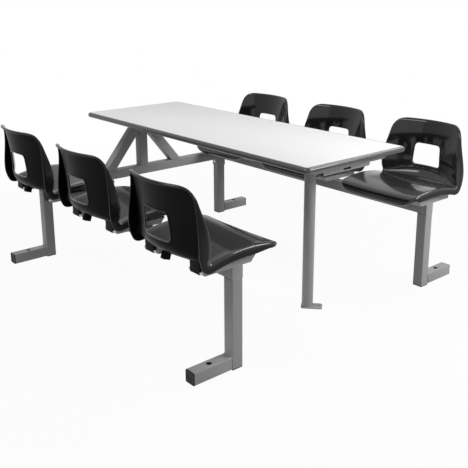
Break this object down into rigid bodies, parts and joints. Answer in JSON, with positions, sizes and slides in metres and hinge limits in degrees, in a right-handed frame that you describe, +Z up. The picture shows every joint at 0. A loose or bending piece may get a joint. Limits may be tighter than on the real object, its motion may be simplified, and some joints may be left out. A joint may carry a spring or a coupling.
{
  "type": "canteen table with attached seats",
  "caption": "Canteen table with fixed benches of moulded shell seats on square-tube rails and floor feet, with a braced post and a round leg under the top.",
  "frame": {"origin": "on the floor below the middle of the table top", "axes": "+X along the table to the end with the round leg, +Y across to the right bench, +Z up"},
  "size_m": [1.65, 1.6998, 0.7464],
  "materials": {
    "grey_painted_steel": "satin mid-grey powder paint",
    "black_gloss_plastic": "glossy black moulding",
    "black_insert_plastic": "matt black moulding",
    "white_laminate": "board faced with satin white laminate",
    "grey_edge_lipping": "satin grey bullnose lipping",
    "zinc_plated_steel": "zinc plated"
  },
  "bodies": {
    "root": {"beam_socket": "grey_painted_steel", "cross_beam": "grey_painted_steel", "far_top_bearer": "grey_painted_steel", "king_post": "grey_painted_steel", "king_post_head": "grey_painted_steel", "left_brace": "grey_painted_steel", "left_far_foot": "grey_painted_steel", "left_far_foot_cap": "black_insert_plastic", "left_far_rail_end_plate": "grey_painted_steel", "left_far_upright": "grey_painted_steel", "left_far_upright_plug": "black_insert_plastic", "left_near_foot": "grey_painted_steel", "left_near_foot_cap": "black_insert_plastic", "left_near_rail_end_plate": "grey_painted_steel", "left_near_upright": "grey_painted_steel", "left_near_upright_plug": "black_insert_plastic", "left_seat_rail": "grey_painted_steel", "near_top_bearer": "grey_painted_steel", "right_brace": "grey_painted_steel", "right_far_foot": "grey_painted_steel", "right_far_foot_cap": "black_insert_plastic", "right_far_rail_end_plate": "grey_painted_steel", "right_far_upright": "grey_painted_steel", "right_far_upright_plug": "black_insert_plastic", "right_near_foot": "grey_painted_steel", "right_near_foot_cap": "black_insert_plastic", "right_near_rail_end_plate": "grey_painted_steel", "right_near_upright": "grey_painted_steel", "right_near_upright_plug": "black_insert_plastic", "right_seat_rail": "grey_painted_steel", "round_leg": "grey_painted_steel", "round_leg_foot": "grey_painted_steel", "round_leg_head": "grey_painted_steel", "seat_bearer_left_far_far": "grey_painted_steel", "seat_bearer_left_far_near": "grey_painted_steel", "seat_bearer_left_mid_far": "grey_painted_steel", "seat_bearer_left_mid_near": "grey_painted_steel", "seat_bearer_left_near_far": "grey_painted_steel", "seat_bearer_left_near_near": "grey_painted_steel", "seat_bearer_right_far_far": "grey_painted_steel", "seat_bearer_right_far_near": "grey_painted_steel", "seat_bearer_right_mid_far": "grey_painted_steel", "seat_bearer_right_mid_near": "grey_painted_steel", "seat_bearer_right_near_far": "grey_painted_steel", "seat_bearer_right_near_near": "grey_painted_steel", "seat_shell_left_far": "black_gloss_plastic", "seat_shell_left_mid": "black_gloss_plastic", "seat_shell_left_near": "black_gloss_plastic", "seat_shell_right_far": "black_gloss_plastic", "seat_shell_right_mid": "black_gloss_plastic", "seat_shell_right_near": "black_gloss_plastic", "slotted_rail": "grey_painted_steel", "socket_set_bolt": "zinc_plated_steel", "tabletop_board": "white_laminate", "tabletop_edge": "grey_edge_lipping"}
  },
  "joints": []
}
